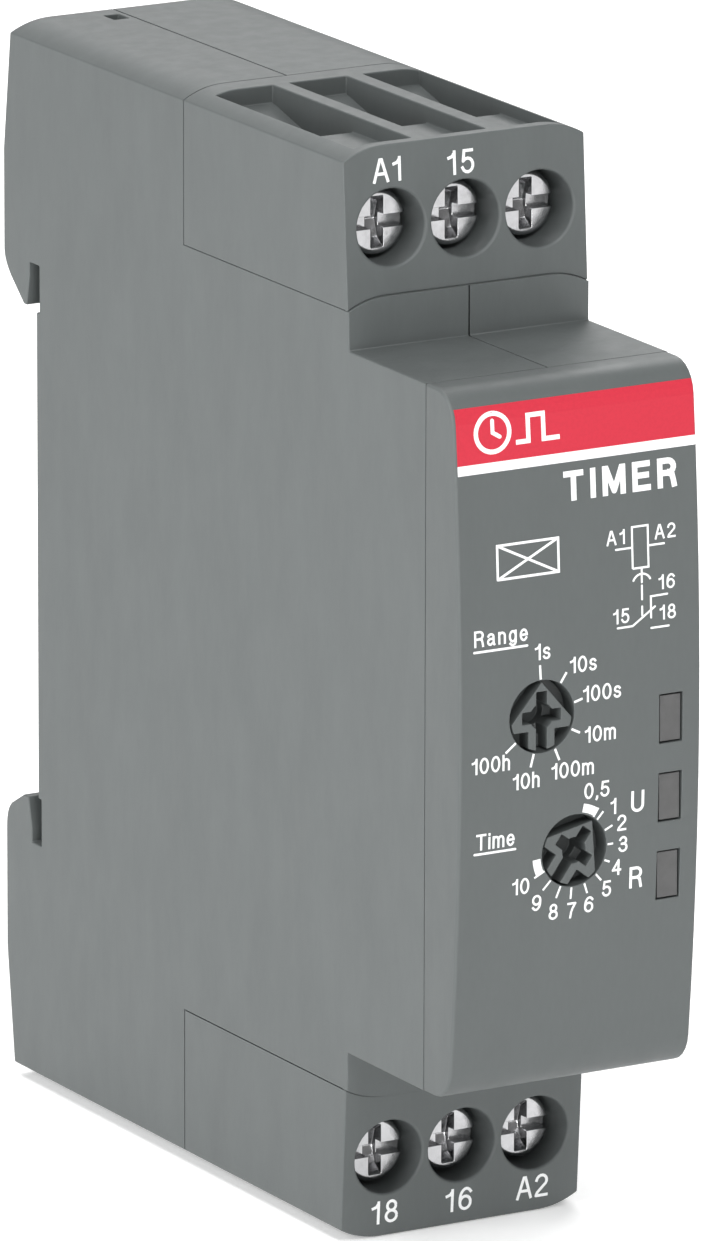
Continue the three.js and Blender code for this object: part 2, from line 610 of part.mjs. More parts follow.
function buildBoards() {
  const tall = STEP_HEIGHT - WALL - 0.4;
  const nose = NOSE_HEIGHT - WALL - 1;
  const edge = outline([
    [-2.2, -tall], [-2.2, tall], [-39, tall], [-39, nose], [FRONT_BOARD_Y[1] + 0.2, nose],
    [FRONT_BOARD_Y[1] + 0.2, -nose], [-39, -nose], [-39, -tall],
  ]);
  add('main_board', extrude(edge, 'x', ...BOARD_X), 'board');
  add('front_board', box([-7.1, 7.1], FRONT_BOARD_Y, [-nose, nose]), 'board');
  const shell = box([3.2, BOARD_FACE], [-46.2, -43.4], [-17, -7]);
  const pins = [-16, -14, -12, -10, -8].map((z) => box([4.2, 4.8], [-43.6, -42.2], [z - 0.3, z + 0.3]));
  add('board_connector', union(shell, ...pins), 'black');
}

function relayCoilSolid() {
  const [flange, wound, bore] = [4.3, 3.7, 1.6];
  const [low, high, rim] = [-12, 3, 0.8];
  const profile = [
    [bore, low], [flange, low], [flange, low + rim], [wound, low + rim],
    [wound, high - rim], [flange, high - rim], [flange, high], [bore, high], [bore, low],
  ].map(([r, z]) => new THREE.Vector2(r, z));
  return toSolid(new THREE.LatheGeometry(profile, 28).rotateX(Math.PI / 2).translate(COIL.x, COIL.y, 0));
}

function buildRelay() {
  const wall = 0.7;
  const base = box([RELAY_X[1] + 0.2, BOARD_FACE], RELAY_Y, [-RELAY_Z, RELAY_Z]);
  add('relay_base', base, 'black');
  const shell = box(RELAY_X, RELAY_Y, [-RELAY_Z, RELAY_Z]);
  const roomY = [RELAY_Y[0] + wall, RELAY_Y[1] - wall];
  const room = box([RELAY_X[0] + wall, RELAY_X[1] + 1], roomY, [wall - RELAY_Z, RELAY_Z - wall]);
  add('relay_cover', shell.subtract(room), 'relay');
  add('relay_coil', relayCoilSolid(), 'winding');
  const rod = cylinderZ(COIL.x, COIL.y, -13, 3.5, 1.45);
  add('relay_core', rod.add(cylinderZ(COIL.x, COIL.y, 3.2, 3.9, 2.4)), 'steel');
  const foot = box([COIL.x - 3, COIL.x + 3], [COIL.y - 3, -16.4], [-13.1, -12.3]);
  const leg = box([COIL.x - 3, COIL.x + 3], [-17.3, -16.4], [-13.1, PIVOT.z - 0.2]);
  const yoke = foot.add(leg).subtract(cylinderZ(COIL.x, COIL.y, -14, -12, 1.6));
  add('relay_yoke', yoke, 'steel');
}

// The armature tips about the top of the yoke: its plate closes on the core, its arm on the NO contact.
function buildRelayContacts() {
  const plate = box([COIL.x - 3, COIL.x + 3], [-25.5, PIVOT.y + 0.2], [PIVOT.z, PIVOT.z + 0.8]);
  const arm = box([COIL.x - 1.5, COIL.x + 1.5], [-18, -17.6], [PIVOT.z + 0.4, 11.5]);
  const rivet = cylinderY(COIL.x, 10.3, -18.3, -17.3, 1, 20);
  add('relay_armature', union(plate, arm, rivet), 'steel');
  const strips = { relay_contact_nc: [-17.15, -16.75], relay_contact_no: [-19.15, -18.75] };
  for (const [name, y] of Object.entries(strips)) {
    add(name, box([COIL.x - 1.2, RELAY_X[1]], y, [9.3, 11.3]), 'copper');
  }
}

function canSolid() {
  const profile = [
    [0, -6.2], [3.7, -6.2], [4, -5.9], [4, 3.6], [3.7, 3.9], [3.7, 4.3], [4, 4.6], [4, 5.3], [0, 5.3],
  ].map(([r, x]) => new THREE.Vector2(r, x));
  return toSolid(new THREE.LatheGeometry(profile, 28).rotateZ(-Math.PI / 2).translate(0, -8.5, -14));
}

function buildBoardParts() {
  add('electrolytic_capacitor', canSolid(), 'sleeve');
  const film = box([-5.6, 4.7], [-11.2, -6], [3.5, 17]);
  const filmLegs = [5.5, 15].map((z) => box([4.5, BOARD_FACE], [-8.9, -8.3], [z - 0.3, z + 0.3]));
  add('film_capacitor', union(film, ...filmLegs), 'film');
  const disc = cylinderY(0.9, -18.9, -26.4, -29.4, 3.6, 28);
  const discLegs = [-21.2, -16.6].map((z) => box([2, BOARD_FACE], [-28.2, -27.6], [z - 0.3, z + 0.3]));
  add('varistor', union(disc, ...discLegs), 'ceramic');
  const chip = box([-6, -1], [FRONT_BOARD_Y[1] + 0.25, FRONT_BOARD_Y[1] + 1.8], [8, 14]);
  const feet = [9, 10.3, 11.6, 12.9].flatMap((z) => [[-7, -5.8], [-1.2, 0]]
    .map((x) => box(x, [FRONT_BOARD_Y[1] + 0.1, FRONT_BOARD_Y[1] + 0.5], [z - 0.2, z + 0.2])));
  add('microcontroller', union(chip, ...feet), 'black');
}

function buildClamp() {
  const side = outline([
    [CLAMP_FRONT, CLAMP_BOTTOM], [1.9, CLAMP_BOTTOM], [CLAMP_BACK, 18.6],
    [CLAMP_BACK, CLAMP_TOP], [CLAMP_FRONT, CLAMP_TOP],
  ]);
  const body = extrude(side, 'x', -CLAMP_HALF_WIDTH, CLAMP_HALF_WIDTH);
  const reach = CLAMP_HALF_WIDTH + CLAMP_EAR;
  const ears = box([-reach, reach], [1.6, CLAMP_BACK], [CLAMP_EAR_BOTTOM, CLAMP_EAR_TOP]);
  const seat = cylinderZ(0, 1.65, CLAMP_TOP - 1.2, CLAMP_TOP + 1, 1.25);
  const recesses = [-3, 3].map((x) => box([x - 1, x + 1], [0.8, 2.5], [CLAMP_TOP - 3, CLAMP_TOP + 1]));
  add('rail_clamp', union(body, ears).subtract(union(seat, ...recesses)), 'clamp');
}

class Helix extends THREE.Curve {
  constructor(radius, low, high, turns) {
    super();
    Object.assign(this, { radius, low, high, turns });
  }

  getPoint(t, target = new THREE.Vector3()) {
    const turn = t * this.turns * Math.PI * 2;
    const height = this.low + t * (this.high - this.low);
    return target.set(this.radius * Math.cos(turn), 1.65 + this.radius * Math.sin(turn), height);
  }
}

function buildClampSpring() {
  const wire = 0.2;
  const turns = 7;
  const section = new THREE.Shape();
  section.absarc(0, 0, wire, 0, Math.PI * 2);
  const path = new Helix(0.9, CLAMP_TOP - 1.2 + wire + 0.05, CHANNEL_TOP - wire - 0.1, turns);
  const options = { steps: turns * 12, curveSegments: 3, extrudePath: path };
  add('clamp_spring', toSolid(new THREE.ExtrudeGeometry(section, options)), 'steel');
}

buildShells();
buildFrontCap();
buildWindows();
buildLamps();
buildKnobs();
buildBlocks();
buildTerminals();
buildBoards();
buildRelay();
buildRelayContacts();
buildBoardParts();
buildClamp();
buildClampSpring();

export default timer;
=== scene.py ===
"""A DIN rail timer in a one-module housing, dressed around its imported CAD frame."""
import json
import math

import bmesh
import bpy
from mathutils import Matrix, Vector
from mathutils.bvhtree import BVHTree
from mathutils.geometry import delaunay_2d_cdt


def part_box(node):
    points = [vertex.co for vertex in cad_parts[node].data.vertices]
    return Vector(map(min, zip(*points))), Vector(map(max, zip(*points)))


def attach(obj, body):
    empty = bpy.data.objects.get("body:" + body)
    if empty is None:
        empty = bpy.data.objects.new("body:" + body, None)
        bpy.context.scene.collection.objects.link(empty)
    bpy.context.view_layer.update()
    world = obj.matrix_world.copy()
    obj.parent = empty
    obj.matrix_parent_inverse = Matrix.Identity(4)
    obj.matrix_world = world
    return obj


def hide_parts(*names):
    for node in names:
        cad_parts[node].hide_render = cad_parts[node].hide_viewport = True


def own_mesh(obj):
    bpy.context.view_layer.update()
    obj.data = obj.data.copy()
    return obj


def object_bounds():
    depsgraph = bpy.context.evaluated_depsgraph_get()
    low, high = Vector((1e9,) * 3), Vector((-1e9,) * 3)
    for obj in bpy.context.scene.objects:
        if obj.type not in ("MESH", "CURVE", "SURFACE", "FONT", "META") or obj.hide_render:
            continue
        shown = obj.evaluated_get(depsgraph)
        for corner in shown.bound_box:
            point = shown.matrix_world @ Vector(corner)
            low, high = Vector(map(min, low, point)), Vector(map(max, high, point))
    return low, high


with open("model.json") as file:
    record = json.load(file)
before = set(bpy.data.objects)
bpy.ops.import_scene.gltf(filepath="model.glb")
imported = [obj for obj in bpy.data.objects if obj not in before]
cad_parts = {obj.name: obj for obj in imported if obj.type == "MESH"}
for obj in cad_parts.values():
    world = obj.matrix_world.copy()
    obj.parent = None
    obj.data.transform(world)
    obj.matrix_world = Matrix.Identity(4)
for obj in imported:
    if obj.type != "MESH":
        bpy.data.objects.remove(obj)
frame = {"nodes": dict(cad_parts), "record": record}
cad_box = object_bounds()
MM = 0.001


# ---------------------------------------------------------------- camera, floor and light

CAMERA_AZIMUTH = math.radians(-29.82)
CAMERA_ELEVATION = math.radians(14.70)
CAMERA_ROLL = math.radians(0.115)
CAMERA_DISTANCE = 0.9192
CAMERA_AIM = Vector((0.01089, -0.00754, -0.00469))
CAMERA_LENS = 405.1
LIGHTS = {  # direction from the object, distance, size and power
    "left_low": ((-1, -0.1, 0.05), 0.7, 0.45, 2.34),
    "left_high": ((-1, -0.15, 0.5), 0.7, 0.45, 2.22),
    "top": ((-0.1, 0.1, 1), 0.7, 0.45, 1.88),
    "back": ((0.5, 0.7, 0.8), 0.7, 0.45, 2.1),
    "front_low": ((-0.3, -1, -0.1), 0.9, 0.4, 6.2),
    "front_high": ((-0.1, -0.8, 0.8), 0.8, 0.4, 3.1),
}
WORLD_STRENGTH = 0.25
FLOOR_HALF = 6.0
FLOOR_GAP = 0.05 * MM


def make_camera():
    """A long lens at the viewing angle of the product shot: front left, a little above."""
    data = bpy.data.cameras.new("camera")
    data.lens = CAMERA_LENS
    data.clip_start, data.clip_end = 0.05, 20
    camera = bpy.data.objects.new("camera", data)
    back = Vector((
        math.sin(CAMERA_AZIMUTH) * math.cos(CAMERA_ELEVATION),
        -math.cos(CAMERA_AZIMUTH) * math.cos(CAMERA_ELEVATION),
        math.sin(CAMERA_ELEVATION),
    ))
    turn = back.to_track_quat("Z", "Y").to_matrix().to_4x4()
    roll = Matrix.Rotation(CAMERA_ROLL, 4, "Z")
    camera.matrix_world = Matrix.Translation(CAMERA_AIM + back * CAMERA_DISTANCE) @ turn @ roll
    bpy.context.scene.collection.objects.link(camera)
    bpy.context.scene.camera = camera


def make_area_light(name, direction, distance, size, power):
    data = bpy.data.lights.new(name, "AREA")
    data.shape, data.size, data.energy = "DISK", size, power
    light = bpy.data.objects.new(name, data)
    place = Vector(direction).normalized() * distance
    light.location = place
    light.rotation_mode = "QUATERNION"
    light.rotation_quaternion = place.to_track_quat("Z", "Y")
    bpy.context.scene.collection.objects.link(light)


def make_studio():
    world = bpy.data.worlds.new("studio")
    world.use_nodes = True
    background = world.node_tree.nodes["Background"]
    background.inputs["Color"].default_value = (1, 1, 1, 1)
    background.inputs["Strength"].default_value = WORLD_STRENGTH
    bpy.context.scene.world = world
    bpy.context.scene.view_settings.view_transform = "Standard"
    for name, row in LIGHTS.items():
        make_area_light(name, *row)

    mesh = bpy.data.meshes.new("floor")
    half, low = FLOOR_HALF, cad_box[0].z - FLOOR_GAP
    corners = [(-half, -half, low), (half, -half, low), (half, half, low), (-half, half, low)]
    mesh.from_pydata(corners, [], [(0, 1, 2, 3)])
    floor = bpy.data.objects.new("floor", mesh)
    bpy.context.scene.collection.objects.link(floor)
    material = bpy.data.materials.new("floor")
    material.use_nodes = True
    shader = material.node_tree.nodes["Principled BSDF"]
    shader.inputs["Base Color"].default_value = (0.9, 0.9, 0.9, 1)
    shader.inputs["Roughness"].default_value = 0.8
    shader.inputs["Emission Color"].default_value = (1, 1, 1, 1)
    shader.inputs["Emission Strength"].default_value = 0.3
    mesh.materials.append(material)


# ---------------------------------------------------------------- materials

NOISE_SPAN = (0.3, 0.7)  # nearly all of a noise texture lies between these values


class Graph:
    """A node material, with one method for each kind of node that the finishes use."""

    def __init__(self, name):
        self.material = bpy.data.materials.new(name)
        self.material.use_nodes = True
        self.tree = self.material.node_tree
        self.shader = self.tree.nodes["Principled BSDF"]
        self.place = self.tree.nodes.new("ShaderNodeTexCoord").outputs["Object"]

    def set(self, **values):
        for name, value in values.items():
            self.shader.inputs[name.replace("_", " ")].default_value = value

    def link(self, source, target):
        self.tree.links.new(source, target)

    def noise(self, size, stretch=(1, 1, 1), detail=3.0, roughness=0.5):
        """Noise whose blotches are about size metres across, longer along the axes with stretch over 1."""
        mapping = self.tree.nodes.new("ShaderNodeMapping")
        mapping.inputs["Scale"].default_value = [1 / (size * s) for s in stretch]
        texture = self.tree.nodes.new("ShaderNodeTexNoise")
        texture.inputs["Scale"].default_value = 1.0
        texture.inputs["Detail"].default_value = detail
        texture.inputs["Roughness"].default_value = roughness
        self.link(self.place, mapping.inputs["Vector"])
        self.link(mapping.outputs["Vector"], texture.inputs["Vector"])
        return texture.outputs["Fac"]

    def ramp(self, source, stops):
        node = self.tree.nodes.new("ShaderNodeValToRGB")
        ramp = node.color_ramp
        while len(ramp.elements) < len(stops):
            ramp.elements.new(0.5)
        for element, (position, colour) in zip(ramp.elements, stops):
            element.position, element.color = position, (*colour, 1)
        self.link(source, node.inputs["Fac"])
        return node.outputs["Color"]

    def remap(self, source, low, high):
        node = self.tree.nodes.new("ShaderNodeMapRange")
        node.inputs["From Min"].default_value, node.inputs["From Max"].default_value = NOISE_SPAN
        node.inputs["To Min"].default_value, node.inputs["To Max"].default_value = low, high
        self.link(source, node.inputs["Value"])
        return node.outputs["Result"]

    def painted_recess_shade(self, top, bottom, share):
        """Falls from 1 to the given share between two places along Y: painted shade, darker deeper in a
        recess.
        """
        split = self.tree.nodes.new("ShaderNodeSeparateXYZ")
        self.link(self.place, split.inputs["Vector"])
        node = self.tree.nodes.new("ShaderNodeMapRange")
        node.inputs["From Min"].default_value, node.inputs["From Max"].default_value = top, bottom
        node.inputs["To Min"].default_value, node.inputs["To Max"].default_value = 1.0, share
        self.link(split.outputs["Y"], node.inputs["Value"])
        return node.outputs["Result"]

    def mix(self, factor, a, b, mode="MIX"):
        node = self.tree.nodes.new("ShaderNodeMix")
        node.data_type, node.blend_type = "RGBA", mode
        node.inputs["Factor"].default_value = factor
        self.link(a, node.inputs["A"])
        self.link(b, node.inputs["B"])
        return node.outputs["Result"]

    def bump(self, *layers):
        """Layers are (height source, depth in metres), laid one on another."""
        normal = None
        for source, depth in layers:
            node = self.tree.nodes.new("ShaderNodeBump")
            node.inputs["Strength"].default_value = 1.0
            node.inputs["Distance"].default_value = depth
            self.link(source, node.inputs["Height"])
            if normal is not None:
                self.link(normal, node.inputs["Normal"])
            normal = node.outputs["Normal"]
        self.link(normal, self.shader.inputs["Normal"])


def shade(colour, factor):
    return tuple(c * factor for c in colour)


def moulded(name, colour, roughness, mottle=0.04, grain=0.004 * MM, stretch=(1, 1, 3), recess=None):
    """Injection-moulded plastic: soft flow marks along Z, a fine speckle and a spark-eroded grain."""
    g = Graph(name)
    flow = g.ramp(g.noise(2.4 * MM, stretch, 5, 0.6), [
        (0.34, shade(colour, 1 - mottle)), (0.5, colour), (0.66, shade(colour, 1 + mottle))])
    speckle = g.ramp(g.noise(0.35 * MM, stretch, 2), [(0.3, shade((1, 1, 1), 0.96)), (0.7, (1, 1, 1))])
    tone = g.mix(1.0, flow, speckle, "MULTIPLY")
    # painted shade: the colour darkens deeper along Y, standing in for shade in a recess
    if recess:
        tone = g.mix(1.0, tone, g.painted_recess_shade(*recess), "MULTIPLY")
    g.link(tone, g.shader.inputs["Base Color"])
    polish = g.remap(g.noise(1.2 * MM, stretch, 3), roughness - 0.05, roughness + 0.05)
    g.link(polish, g.shader.inputs["Roughness"])
    g.bump((g.noise(0.09 * MM, (1, 1, 1), 2), grain), (g.noise(1.6 * MM, stretch, 2), grain * 1.5))
    g.set(Specular_IOR_Level=0.42)
    return g.material


def plated(name, colour, roughness, scratch=0.002 * MM, stretch=(1, 1, 1)):
    """Bright plated metal with faint tool marks and uneven polish."""
    g = Graph(name)
    tone = g.ramp(g.noise(0.7 * MM, stretch, 4), [(0.35, shade(colour, 0.9)), (0.65, colour)])
    g.link(tone, g.shader.inputs["Base Color"])
    polish = g.remap(g.noise(0.4 * MM, stretch, 3), roughness * 0.75, roughness * 1.35)
    g.link(polish, g.shader.inputs["Roughness"])
    g.bump((g.noise(0.12 * MM, stretch, 3), scratch))
    g.set(Metallic=1.0)
    return g.material


def ink(name, colour):
    g = Graph(name)
    tone = g.ramp(g.noise(0.2 * MM, (1, 1, 1), 3), [(0.35, shade(colour, 0.95)), (0.6, colour)])
    g.link(tone, g.shader.inputs["Base Color"])
    g.bump((g.noise(0.05 * MM, (1, 1, 1), 2), 0.001 * MM))
    g.set(Roughness=0.5, Specular_IOR_Level=0.3)
    return g.material


def smoked(name, colour):
    """The look of a light guide or a lens: a glossy skin over a cloudy body."""
    g = Graph(name)
    tone = g.ramp(g.noise(0.8 * MM, (1, 1, 1), 3), [(0.35, shade(colour, 0.9)), (0.65, shade(colour, 1.08))])
    g.link(tone, g.shader.inputs["Base Color"])
    g.bump((g.noise(0.15 * MM, (1, 1, 1), 2), 0.002 * MM))
    g.set(Roughness=0.28, Specular_IOR_Level=0.5, Coat_Weight=0.25, Coat_Roughness=0.15)
    return g.material


GREY = (0.095, 0.105, 0.1045)
KNOB_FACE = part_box("range_knob")[0][1]
KNOB_PAINTED_SHADE = (KNOB_FACE + 0.12 * MM, KNOB_FACE + 0.75 * MM, 0.5)  # two places along Y, and the share: painted shade on the knob's sunken faces
MATERIALS = {
    "housing": moulded("housing_plastic", GREY, 0.52),
    "panel": moulded("panel_plastic", shade(GREY, 0.97), 0.5, mottle=0.02),
    # the knob's sunken faces get painted shade, darker deeper along Y
    "knob": moulded("knob_plastic", shade(GREY, 0.9), 0.45, mottle=0.02, recess=KNOB_PAINTED_SHADE),
    "window": smoked("smoked_window", (0.064, 0.064, 0.064)),
    "clamp": moulded("clamp_plastic", (0.05, 0.055, 0.057), 0.5),
    "steel": plated("plated_steel", (0.55, 0.55, 0.56), 0.2),
    "copper": plated("tinned_copper", (0.76, 0.62, 0.46), 0.3),
    "board": moulded("board_laminate", (0.02, 0.13, 0.06), 0.35, stretch=(1, 1, 1)),
    "black": moulded("black_plastic", (0.02, 0.02, 0.022), 0.45),
    "relay": moulded("relay_case", (0.03, 0.08, 0.2), 0.3),
    "winding": plated("copper_winding", (0.7, 0.3, 0.12), 0.35, stretch=(8, 8, 0.3)),
    "sleeve": moulded("capacitor_sleeve", (0.02, 0.025, 0.06), 0.3),
    "film": moulded("film_capacitor_case", (0.6, 0.4, 0.05), 0.35),
    "ceramic": moulded("varistor_coating", (0.03, 0.12, 0.4), 0.3),
    "lamp": smoked("lamp_lens", (0.75, 0.73, 0.62)),
}
WHITE_INK = ink("white_ink", (0.86, 0.87, 0.87))
RED_INK = ink("red_ink", (0.525, 0.025, 0.047))


# ---------------------------------------------------------------- pieces made from the frame

EDGE_RADIUS = {  # edge radius of each slot's pieces, in mm
    "housing": 0.2, "panel": 0.2, "knob": 0.05, "window": 0.08, "clamp": 0.15,
    "steel": 0.05, "copper": 0.08, "board": 0.05, "black": 0.1, "relay": 0.2,
    "winding": 0.1, "sleeve": 0.1, "film": 0.3, "ceramic": 0.3, "lamp": 0.1,
}
SHARP = math.radians(32)  # a fold over this angle is an edge to be rounded
FLAT = math.radians(0.05)
FLAT_STEP = 0.002 * MM
STRAIGHT = -0.8  # edges whose directions from a shared point multiply to less run on without a corner
SPLIT = 1.2 * MM  # longest part of an edge after halving
SEAM_RADIUS = 0.05
SEAM_REACH = 0.28 * MM
SINK_REACH = 1.3 * MM
NEAR_SHARE, FAR_SHARE = 0.45, 0.9  # how much of the room beside an edge its rounding may take
BORE_Z = (27.8 * MM, 33 * MM)  # the screw bores lie between these heights
CRISP_SHARE = 0.5  # of the full radius, for all the edges of the housing's pieces except the bores
BEVEL_SEGMENTS = 3


def link_piece(name, mesh, body, material):
    piece = bpy.data.objects.new(name, mesh)
    bpy.context.scene.collection.objects.link(piece)
    mesh.materials.clear()
    mesh.materials.append(material)
    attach(piece, body)
    return piece


def body_with(node):
    return next(b for b, members in frame["record"]["behaviour"]["bodies"].items() if node in members)


def is_sharp(edge):
    return edge.calc_face_angle(0) > SHARP


def halve(edge):
    """Splits an edge at its middle until its parts are short."""
    if edge.calc_length() > SPLIT:
        part, _ = bmesh.utils.edge_split(edge, edge.verts[0], 0.5)
        halve(edge)
        halve(part)


def spread(items, neighbours_of):
    """Groups the items that hang together, in a fixed order."""
    groups, seen = [], set()
    for first in items:
        if first in seen:
            continue
        group = [first]
        seen.add(first)
        for item in group:
            for other in neighbours_of(item):
                if other not in seen:
                    seen.add(other)
                    group.append(other)
        groups.append(group)
    return groups


def is_flat(edge):
    """True where both triangles of an edge lie in one plane; a sliver is judged by where it reaches."""
    if len(edge.link_faces) != 2 or edge.calc_face_angle(1) > SHARP:
        return False
    large, small = sorted(edge.link_faces, key=lambda face: -face.calc_area())
    start = edge.verts[0].co
    return all(abs((v.co - start).dot(large.normal)) < FLAT_STEP for v in small.verts)


def faces_across(edges):
    return lambda face: [f for e in face.edges if e in edges for f in e.link_faces]


def tree_path(tree, start, end):
    """The rims on the way between two rims, over the crossings kept so far."""
    paths = [[start]]
    for path in paths:
        if path[-1] == end:
            return path
        paths += [path + [n] for n in tree[path[-1]] if n not in path]
    return []


def crossings(plane, flat):
    """The shortest edges that tie each hole's rim in a flat face to the rest of it, twice over."""
    edges = list(dict.fromkeys(e for face in plane for e in face.edges))
    border = {e for e in edges if e not in flat}
    corners = list(dict.fromkeys(v for e in edges if e in border for v in e.verts))
    rims = spread(corners, lambda v: [e.other_vert(v) for e in v.link_edges if e in border])
    rim_of = {v: k for k, rim in enumerate(rims) for v in rim}
    links = [e for e in edges if e in flat and all(v in rim_of for v in e.verts)]
    links = sorted(links, key=lambda e: e.calc_length())
    tree = {k: [] for k in range(len(rims))}
    block = {k: k for k in tree}
    kept, spare = set(), []
    for edge in links:
        a, b = (rim_of[v] for v in edge.verts)
        if a != b and tree_path(tree, a, b):
            spare.append(edge)
        elif a != b:
            tree[a].append(b)
            tree[b].append(a)
            kept.add(edge)
    for edge in spare:
        path = tree_path(tree, *(rim_of[v] for v in edge.verts))
        blocks = {block[k] for k in path}
        if len(blocks) > 1:
            block = {k: block[path[0]] if own in blocks else own for k, own in block.items()}
            kept.add(edge)
    return kept


def merge_facets(bm):
    """Joins the facets that lie in one plane into a single face, tied across to its holes.

    Points along the edges let the ties be short and square, so that the rounding runs past them cleanly.
    """
    bmesh.ops.remove_doubles(bm, verts=bm.verts, dist=1e-7)
    for edge in [e for e in bm.edges if is_sharp(e)]:
        halve(edge)
    bmesh.ops.triangulate(bm, faces=bm.faces)
    bm.normal_update()
    bmesh.ops.beautify_fill(bm, faces=bm.faces, edges=[e for e in bm.edges if is_flat(e)])
    bm.normal_update()
    flat = {e for e in bm.edges if is_flat(e)}
    for plane in spread(list(bm.faces), faces_across(flat)):
        open_edges = flat - crossings(plane, flat)
        for part in spread(plane, faces_across(open_edges)):
            if len(part) > 1:
                bmesh.utils.face_join(part)
    straight = [v for v in bm.verts if len(v.link_edges) == 2]
    bmesh.ops.dissolve_limit(bm, angle_limit=FLAT, verts=straight, edges=[])


def find_chains(bm):
    """Gathers the sharp edges into runs that go on without a corner, which are rounded alike."""
    chain_of, chains = {}, []
    for first in filter(is_sharp, bm.edges):
        if first in chain_of:
            continue
        chain = [first]
        chain_of[first] = chain
        for edge in chain:
            for vertex in edge.verts:
                along = (edge.other_vert(vertex).co - vertex.co).normalized()
                for other in vertex.link_edges:
                    ahead = (other.other_vert(vertex).co - vertex.co).normalized()
                    if other not in chain_of and is_sharp(other) and ahead.dot(along) < STRAIGHT:
                        chain_of[other] = chain
                        chain.append(other)
        chains.append(chain)
    return chains


def end_room(edge):
    """How far an edge can be rounded before it meets the rounding at the far end of the edges beside it."""
    room = math.inf
    for vertex in edge.verts:
        along = (edge.other_vert(vertex).co - vertex.co).normalized()
        for other in vertex.link_edges:
            if other is edge:
                continue
            far = other.other_vert(vertex)
            if (far.co - vertex.co).normalized().dot(along) < STRAIGHT:
                continue
            meets = any(is_sharp(e) for e in far.link_edges if e is not other)
            share = NEAR_SHARE if meets else FAR_SHARE
            room = min(room, other.calc_length() * share)
    return room


def distance(point, edge):
    a, b = (v.co for v in edge.verts)
    run = b - a
    part = max(0, min(1, (point - a).dot(run) / run.length_squared))
    return (point - a - run * part).length


def face_room(edge, chain_points, radius):
    """How far an edge can be rounded before it meets the rounding of another run across one of its faces."""
    room = radius
    corners = [v.co for v in edge.verts]
    middle = (corners[0] + corners[1]) / 2
    reach = 3 * radius + edge.calc_length() / 2
    for other in (e for face in edge.link_faces for e in face.edges):
        if set(other.verts) & chain_points or distance(middle, other) > reach or not is_sharp(other):
            continue
        gaps = [distance(place, other) for place in (*corners, middle)]
        gaps += [distance(v.co, edge) for v in other.verts]
        room = min(room, NEAR_SHARE * min(gaps))
    return room


def chain_radius(chain, node, full, crisp, neighbours):
    """One radius for a run of edges: crisp where most of it lies beside another node."""
    near = [e for e in chain if neighbours.beside(node, (e.verts[0].co + e.verts[1].co) / 2)]
    beside = sum(e.calc_length() for e in near)
    radius = crisp if beside > sum(e.calc_length() for e in chain) / 2 else full
    points = {v for e in chain for v in e.verts}
    return min(min(end_room(e), face_room(e, points, radius)) for e in chain)


class Neighbours:
    """Tells which places on a node lie right beside another node: across a seam, or over a sunken knob."""

    def __init__(self):
        slots = {row["node"]: row["material_slot"] for row in frame["record"]["subparts"]}
        points, faces, self.owners = [], [], []
        for node, item in frame["nodes"].items():
            first = len(points)
            points += [v.co.copy() for v in item.data.vertices]
            reach = SINK_REACH if slots[node] == "knob" else SEAM_REACH
            for face in item.data.polygons:
                faces.append([first + i for i in face.vertices])
                self.owners.append((node, reach))
        self.tree = BVHTree.FromPolygons(points, faces)

    def beside(self, node, place):
        for _, _, index, away in self.tree.find_nearest_range(place, SINK_REACH):
            other, reach = self.owners[index]
            if other != node and away < reach:
                return True
        return False


def is_bore(chain):
    return all(BORE_Z[0] < abs(v.co.z) < BORE_Z[1] for edge in chain for v in edge.verts)


def rounded(node, slot, neighbours):
    """A copy of the CAD node with merged facets and rounded edges, crisper along the seams."""
    bm = bmesh.new()
    bm.from_mesh(frame["nodes"][node].data)
    merge_facets(bm)
    weight = bm.edges.layers.float.new("bevel_weight_edge")
    full = EDGE_RADIUS[slot] * MM
    crisp = min(EDGE_RADIUS[slot], SEAM_RADIUS) * MM
    for chain in find_chains(bm):
        radius = chain_radius(chain, node, full, crisp, neighbours)
        if slot == "housing" and not is_bore(chain):
            radius *= CRISP_SHARE
        for edge in chain:
            edge[weight] = radius / full
    mesh = bpy.data.meshes.new(node + "_fine")
    bm.to_mesh(mesh)
    bm.free()
    mesh.shade_smooth()
    piece = link_piece(node + "_fine", mesh, body_with(node), MATERIALS[slot])
    bevel = piece.modifiers.new("round", "BEVEL")
    bevel.width, bevel.segments, bevel.limit_method = full, BEVEL_SEGMENTS, "WEIGHT"
    bevel.use_clamp_overlap, bevel.loop_slide = False, False
    bevel.miter_outer = "MITER_ARC"
    piece.modifiers.new("normals", "WEIGHTED_NORMAL")
    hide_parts(node)
    return piece


def make_all_rounded():
    neighbours = Neighbours()
    rows = frame["record"]["subparts"]
    return {row["node"]: rounded(row["node"], row["material_slot"], neighbours) for row in rows}


def seat_spring():
    """The spring stays with the housing at its upper end, on a mesh of its own."""
    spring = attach(fine["clamp_spring"], "housing")
    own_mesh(spring)


LIP_Y = (-40.72 * MM, -40.45 * MM)
LIP_HALF = 8.6 * MM
LIP_STEPS = 43
LIP_STRETCH = 1.012  # carries the ends of the lip out to the sides, past the last place it is laid on
LIP_HEIGHT = 0.1 * MM
LIP_ABOVE = 27.5 * MM


